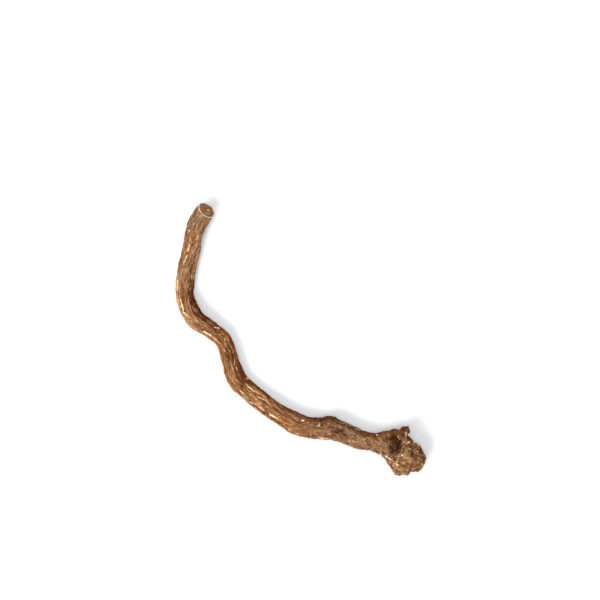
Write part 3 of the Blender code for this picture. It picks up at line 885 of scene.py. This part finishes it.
def finish_skin(mesh, layers):
    """Raises the bark's fine relief, and notes the crests, the worn places and painted highlights, and the
    painted shade of hollows and the left flank, for the paint.
    """
    mesh.normal_update()
    scars = scatter_scars()
    raised = []
    for vert in mesh.verts:
        if vert[layers["cut"]] > 0.5:
            raised.append(vert.co.copy())
            continue
        along = vert[layers["along"]]
        angle = vert[layers["angle"]]
        radius = middle(along)[1] / 2.0
        height, crest = bark_height(vert.co, along, angle, radius)
        scar = scar_at(scars, along, angle, radius)
        height += SCAR_HEIGHT * scar
        pale_and_highlit = max(scar, 0.0) * SCAR_PALENESS
        ochre_and_glint = 0.0
        # Painted shade in a scar's pit.
        crease_shade = max(-scar, 0.0)
        # Painted shade, dark and ruddy, on the left flank.
        shaded_flank = flank_shade(vert.co, along, angle)
        dark = shaded_flank
        facing_up = ease(vert.normal.z, *(MARKED_SLOPES if along < CROWN_START else CROWN_MARKED_SLOPES))
        if facing_up > 0.0:
            x, y = seen_plan(vert.co)
            # Worn pale bark, and painted highlights on lit edges and crests.
            pale_and_highlit = max(pale_and_highlit, mark_near(PALE_AND_HIGHLIT_MARKS, x, y) * facing_up)
            # Ochre of dried juice, and small golden painted highlights.
            ochre_and_glint = mark_near(OCHRE_AND_GLINT_MARKS, x, y) * facing_up
            slit = mark_near(SLITS, x, y) * facing_up
            # Broad patches of painted shade in hollows, and of ruddy bark.
            dark = max(dark, mark_near(SHADE_AND_RUDDY_MARKS, x, y) * facing_up)
            height += PALE_RISE * pale_and_highlit - slit
            # Painted shade in the slits.
            crease_shade = max(crease_shade, min(slit / BLACK_DEPTH, 1.0))
        # Painted shade in the long furrows.
        crease_shade = min(crease_shade + furrow_depth(along, angle, radius) * FURROW_BLACKNESS, 1.0)
        share = read_off(CRUSTINESS, along)
        sink = BARK_SINK + (CROWN_SINK - BARK_SINK) * share
        edge = ease(along, 0.0, EDGE_FADE)
        round_end = 1.0 - END_CALM * ease(along, LENGTH - END_FADE, LENGTH)
        raised.append(vert.co + vert.normal * (height - sink) * edge * round_end)
        vert[layers["crest"]] = crest
        vert[layers["pale_and_highlit"]] = pale_and_highlit
        vert[layers["ochre_and_glint"]] = ochre_and_glint
        vert[layers["crease_shade"]] = crease_shade * (1.0 - pale_and_highlit)
        vert[layers["dark"]] = dark
        vert[layers["shaded_flank"]] = shaded_flank
        vert[layers["crown"]] = share
        vert[layers["grain"]] = Vector((math.cos(angle) * radius, math.sin(angle) * radius, along))
    for vert, point in zip(mesh.verts, raised):
        vert.co = point
        vert.co.z = max(point.z, 0.0)


def build_root():
    """The root as one closed mesh, in metres."""
    noise.seed_set(NOISE_SEED)
    mesh = bmesh.new()
    layers = {name: mesh.verts.layers.float.new(name) for name in NOTES}
    layers["grain"] = mesh.verts.layers.float_vector.new("grain")
    grow_tube(mesh)
    rims = [vert for vert in mesh.verts if vert.is_boundary]
    tail_rim = [vert for vert in rims if vert.co.z < CROWN_START]
    crown_rim = [vert for vert in rims if vert.co.z > CROWN_START]
    shape_skin(mesh, layers)
    close_crown(mesh, layers, crown_rim)
    close_tail(mesh, layers, tail_rim)
    bmesh.ops.recalc_face_normals(mesh, faces=mesh.faces)
    finish_skin(mesh, layers)
    for face in mesh.faces:
        face.smooth = True
    bmesh.ops.scale(mesh, vec=Vector((MM, MM, MM)), verts=mesh.verts)
    data = bpy.data.meshes.new("dried_root")
    mesh.to_mesh(data)
    mesh.free()
    root = bpy.data.objects.new("dried_root", data)
    bpy.context.scene.collection.objects.link(root)
    return root


def new_node(tree, kind, **settings):
    node = tree.nodes.new(kind)
    for name, value in settings.items():
        setattr(node, name, value)
    return node


def feed(tree, socket, value):
    """Links a socket to another, or sets it to a plain value or an opaque colour."""
    if isinstance(value, bpy.types.NodeSocket):
        tree.links.new(value, socket)
    elif socket.type == "RGBA":
        socket.default_value = (*value, 1.0)
    else:
        socket.default_value = value


def noted(tree, name, output="Fac"):
    """What the mesh notes under a name."""
    return new_node(tree, "ShaderNodeAttribute", attribute_name=name).outputs[output]


def arithmetic(tree, operation, first, second, clamp=False):
    node = new_node(tree, "ShaderNodeMath", operation=operation, use_clamp=clamp)
    feed(tree, node.inputs[0], first)
    feed(tree, node.inputs[1], second)
    return node.outputs[0]


def times(tree, first, second):
    return arithmetic(tree, "MULTIPLY", first, second)


def weigh(tree, *parts):
    """The sum of values, each times its weight."""
    total = 0.0
    for value, weight in parts:
        total = arithmetic(tree, "ADD", total, times(tree, value, weight))
    return total


def step_up(tree, value, low, high):
    """0 below low, 1 above high, and a smooth rise between."""
    node = new_node(tree, "ShaderNodeMapRange", interpolation_type="SMOOTHSTEP")
    feed(tree, node.inputs["Value"], value)
    feed(tree, node.inputs["From Min"], low)
    feed(tree, node.inputs["From Max"], high)
    return node.outputs["Result"]


def stretched(tree, place, scale):
    node = new_node(tree, "ShaderNodeMapping")
    feed(tree, node.inputs["Vector"], place)
    feed(tree, node.inputs["Scale"], scale)
    return node.outputs["Vector"]


def cloud(tree, place, scale, detail, roughness, distortion):
    """Plain noise over a place."""
    node = new_node(tree, "ShaderNodeTexNoise")
    feed(tree, node.inputs["Vector"], stretched(tree, place, scale))
    feed(tree, node.inputs["Scale"], 1.0)
    feed(tree, node.inputs["Detail"], detail)
    feed(tree, node.inputs["Roughness"], roughness)
    feed(tree, node.inputs["Distortion"], distortion)
    return node.outputs["Fac"]


def pattern(tree, place, scale, detail, roughness, distortion, low, high):
    """Noise over a place, drawn apart to 0 and 1."""
    return step_up(tree, cloud(tree, place, scale, detail, roughness, distortion), low, high)


def mix_value(tree, share, first, second):
    node = new_node(tree, "ShaderNodeMix", data_type="FLOAT")
    feed(tree, node.inputs["Factor"], share)
    feed(tree, node.inputs["A"], first)
    feed(tree, node.inputs["B"], second)
    return node.outputs["Result"]


def blend(tree, share, first, second, kind="MIX"):
    """The first colour, with a share of the second mixed in or multiplied in."""
    node = new_node(tree, "ShaderNodeMix", data_type="RGBA", blend_type=kind)
    feed(tree, node.inputs["Factor"], share)
    feed(tree, node.inputs["A"], first)
    feed(tree, node.inputs["B"], second)
    return node.outputs["Result"]


def laid_over(tree, colour, over, share, most):
    """The colour with another over it, as strongly as the share says, up to the most."""
    return blend(tree, times(tree, share, most), colour, over)


def ramp(tree, value, stops):
    """The colour for a value on a scale of tones or tints."""
    node = new_node(tree, "ShaderNodeValToRGB")
    feed(tree, node.inputs["Fac"], value)
    elements = node.color_ramp.elements
    while len(elements) < len(stops):
        elements.new(0.5)
    for element, (position, colour) in zip(elements, stops):
        element.position = position
        element.color = (*colour, 1.0)
    return node.outputs["Color"]


def sound_bark(tree, grain, place, texture, grit):
    """The bark's own browns, with its clouds, specks and pores."""
    # Crests lighter and hollows darker: partly painted highlight and shade of the relief.
    tone = weigh(tree, (noted(tree, "crest"), 0.54), (texture, 0.56), (grit, 0.36), (1.0, -0.22))
    bark = ramp(tree, tone, BARK_TONES)
    bark = laid_over(tree, bark, RED_BARK, pattern(tree, place, *RED_CLOUDS), 0.50)
    bark = laid_over(tree, bark, YELLOW_BARK, pattern(tree, place, *YELLOW_CLOUDS), 0.45)
    bark = laid_over(tree, bark, GREY_BARK, pattern(tree, grain, *GREY_CLOUDS), 0.50)
    bark = laid_over(tree, bark, DUSTY_BARK, pattern(tree, grain, *BLOTCHES), 0.35)
    bark = blend(tree, 1.0, bark, tint_along(tree, grain), "MULTIPLY")
    bark = laid_over(tree, bark, PALE_SPECK, pattern(tree, place, *SPECKS), 0.60)
    return laid_over(tree, bark, DARK_PORE, pattern(tree, place, *PORES), 0.65)


def tint_along(tree, grain):
    """How the bark's hue and shade change from the tail to the crown, as a colour to multiply by."""
    apart = new_node(tree, "ShaderNodeSeparateXYZ")
    feed(tree, apart.inputs["Vector"], grain)
    return ramp(tree, arithmetic(tree, "DIVIDE", apart.outputs["Z"], LENGTH), TINTS_ALONG)


def shaded_bark(tree, bark):
    """The bark with the browner crust of the crown, the dark patches of painted shade and ruddy bark, and the
    painted shade of the left flank.
    """
    bark = laid_over(tree, bark, CRUST_BROWN, noted(tree, "crown"), 0.22)
    # Painted shade in the hollows and ruddy bark, multiplied in.
    bark = blend(tree, noted(tree, "dark"), bark, SHADE_AND_RUDDY_TINT, "MULTIPLY")
    # Painted shade, dark and ruddy, on the left flank.
    return blend(tree, noted(tree, "shaded_flank"), bark, FLANK_SHADE_TINT, "MULTIPLY")


def worn_lit_and_shaded_bark(tree, bark, streaks, threads, grit, crumbs):
    """The bark with its worn crests and pale marks, partly painted highlights, its ochre places and golden
    painted highlights, and painted shade in its slits, furrows and scar pits.
    """
    # Pale streaks on the crests: worn bark, partly a painted highlight.
    high = step_up(tree, noted(tree, "crest"), 0.58, 0.88)
    light = arithmetic(tree, "SUBTRACT", 1.0, noted(tree, "dark"), clamp=True)
    worn_and_lit = times(tree, times(tree, high, step_up(tree, streaks, 0.50, 0.95)), light)
    bark = laid_over(tree, bark, WORN_AND_LIT_CREST, worn_and_lit, 0.60)
    # Pale marks: worn bark and painted highlights.
    pale_and_highlit = times(tree, noted(tree, "pale_and_highlit"), weigh(tree, (grit, 0.60), (threads, 0.55), (1.0, 0.25)))
    bark = blend(tree, step_up(tree, pale_and_highlit, 0.05, 0.45), bark, ramp(tree, pale_and_highlit, PALE_TONES))
    # Ochre of dried juice, and small golden painted highlights.
    ochre_and_glint = times(tree, noted(tree, "ochre_and_glint"), weigh(tree, (grit, 0.8), (crumbs, 0.6)))
    bark = blend(tree, ochre_and_glint, bark, JUICE_AND_GLINT_OCHRE)
    # Painted shade in the slits, furrows and scar pits.
    return laid_over(tree, bark, CREASE_SHADE_COLOUR, noted(tree, "crease_shade"), 0.85)


def cut_colour(tree, place, grit, threads):
    """The cut's colours: a cream rim, brown flesh in faint rings, and a yellow pith."""
    reach = noted(tree, "cut_reach")
    mottling = cloud(tree, place, *CUT_MOTTLING)
    rings = ramp(tree, weigh(tree, (reach, 1.0), (mottling, 0.18), (1.0, -0.09)), CUT_TONES)
    flesh = blend(tree, 0.75, rings, ramp(tree, mottling, CUT_MOTTLE_TINTS), "MULTIPLY")
    flesh = laid_over(tree, flesh, CUT_DARK_PATCH, pattern(tree, place, *CUT_PATCHES), 0.72)
    flecks = times(tree, pattern(tree, place, *CUT_FLECKS), step_up(tree, reach, 0.25, 0.45))
    flesh = laid_over(tree, flesh, CUT_PALE_FLECK, flecks, 0.80)
    rays = times(tree, threads, step_up(tree, reach, 0.12, 0.40))
    flesh = laid_over(tree, flesh, CUT_RAY, rays, 0.45)
    rim = times(tree, noted(tree, "pale_and_highlit"), weigh(tree, (grit, 0.6), (threads, 0.2), (1.0, 0.50)))
    return blend(tree, rim, flesh, blend(tree, mottling, CUT_CREAM, CUT_PALEST))


def bark_paint():
    """Dry bark, and the cut's flesh where the mesh notes the cut."""
    material = bpy.data.materials.new("dried_bark")
    material.use_nodes = True
    tree = material.node_tree
    shader = tree.nodes["Principled BSDF"]
    grain = noted(tree, "grain", "Vector")
    object_place = new_node(tree, "ShaderNodeTexCoord").outputs["Object"]
    place = stretched(tree, object_place, (1.0 / MM, 1.0 / MM, 1.0 / MM))
    streaks = pattern(tree, grain, *STREAKS)
    threads = pattern(tree, grain, *THREADS)
    grit = pattern(tree, place, *GRIT)
    crumbs = pattern(tree, place, *CRUMBS)
    lines = weigh(tree, (streaks, 0.5), (threads, 0.5))
    texture = mix_value(tree, noted(tree, "crown"), lines, crumbs)

    bark = sound_bark(tree, grain, place, texture, grit)
    bark = shaded_bark(tree, bark)
    bark = worn_lit_and_shaded_bark(tree, bark, streaks, threads, grit, crumbs)
    flesh = cut_colour(tree, place, grit, threads)
    feed(tree, shader.inputs["Base Color"], blend(tree, noted(tree, "cut"), bark, flesh))
    feed(tree, shader.inputs["Roughness"], weigh(tree, (grit, 0.22), (1.0, 0.66)))
    shader.inputs["Specular IOR Level"].default_value = GLOSS

    bump = new_node(tree, "ShaderNodeBump")
    bump.inputs["Strength"].default_value = BUMP_STRENGTH
    bump.inputs["Distance"].default_value = BUMP_DEPTH
    feed(tree, bump.inputs["Height"], weigh(tree, (texture, 1.0), (grit, 0.8)))
    feed(tree, shader.inputs["Normal"], bump.outputs["Normal"])
    return material


def white_floor():
    mesh = bmesh.new()
    bmesh.ops.create_grid(mesh, x_segments=1, y_segments=1, size=FLOOR_SIZE)
    data = bpy.data.meshes.new("table")
    mesh.to_mesh(data)
    mesh.free()
    table = bpy.data.objects.new("table", data)
    bpy.context.scene.collection.objects.link(table)
    material = bpy.data.materials.new("white_table")
    material.use_nodes = True
    shader = material.node_tree.nodes["Principled BSDF"]
    shader.inputs["Base Color"].default_value = (*FLOOR_GREY, 1.0)
    shader.inputs["Roughness"].default_value = FLOOR_ROUGHNESS
    data.materials.append(material)
    return table


def studio_light(name, spot, size, power, colour):
    """A round soft light that points at the root."""
    light = bpy.data.lights.new(name, "AREA")
    light.shape = "DISK"
    light.size = size
    light.energy = power
    light.color = colour
    lamp = bpy.data.objects.new(name, light)
    lamp.location = spot
    lamp.rotation_euler = (-Vector(spot)).to_track_quat("-Z", "Y").to_euler()
    lamp.visible_camera = False
    bpy.context.scene.collection.objects.link(lamp)


def light_studio():
    for light in LIGHTS:
        studio_light(*light)
    world = bpy.data.worlds.new("studio")
    world.use_nodes = True
    background = world.node_tree.nodes["Background"]
    background.inputs["Color"].default_value = (*SKY_COLOUR, 1.0)
    background.inputs["Strength"].default_value = SKY_STRENGTH
    bpy.context.scene.world = world
    bpy.context.scene.view_settings.view_transform = "Standard"


def overhead_camera():
    data = bpy.data.cameras.new("overhead")
    data.lens = CAMERA_LENS
    data.sensor_width = SENSOR_WIDTH
    camera = bpy.data.objects.new("overhead", data)
    camera.location = (CAMERA_SPOT + Vector((0.0, 0.0, CAMERA_HEIGHT))) * MM
    bpy.context.scene.collection.objects.link(camera)
    bpy.context.scene.camera = camera


def main():
    overhead_camera()
    light_studio()
    white_floor()
    root = build_root()
    root.data.materials.append(bark_paint())
    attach(root, "root")
    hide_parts("dandelion_root")


main()
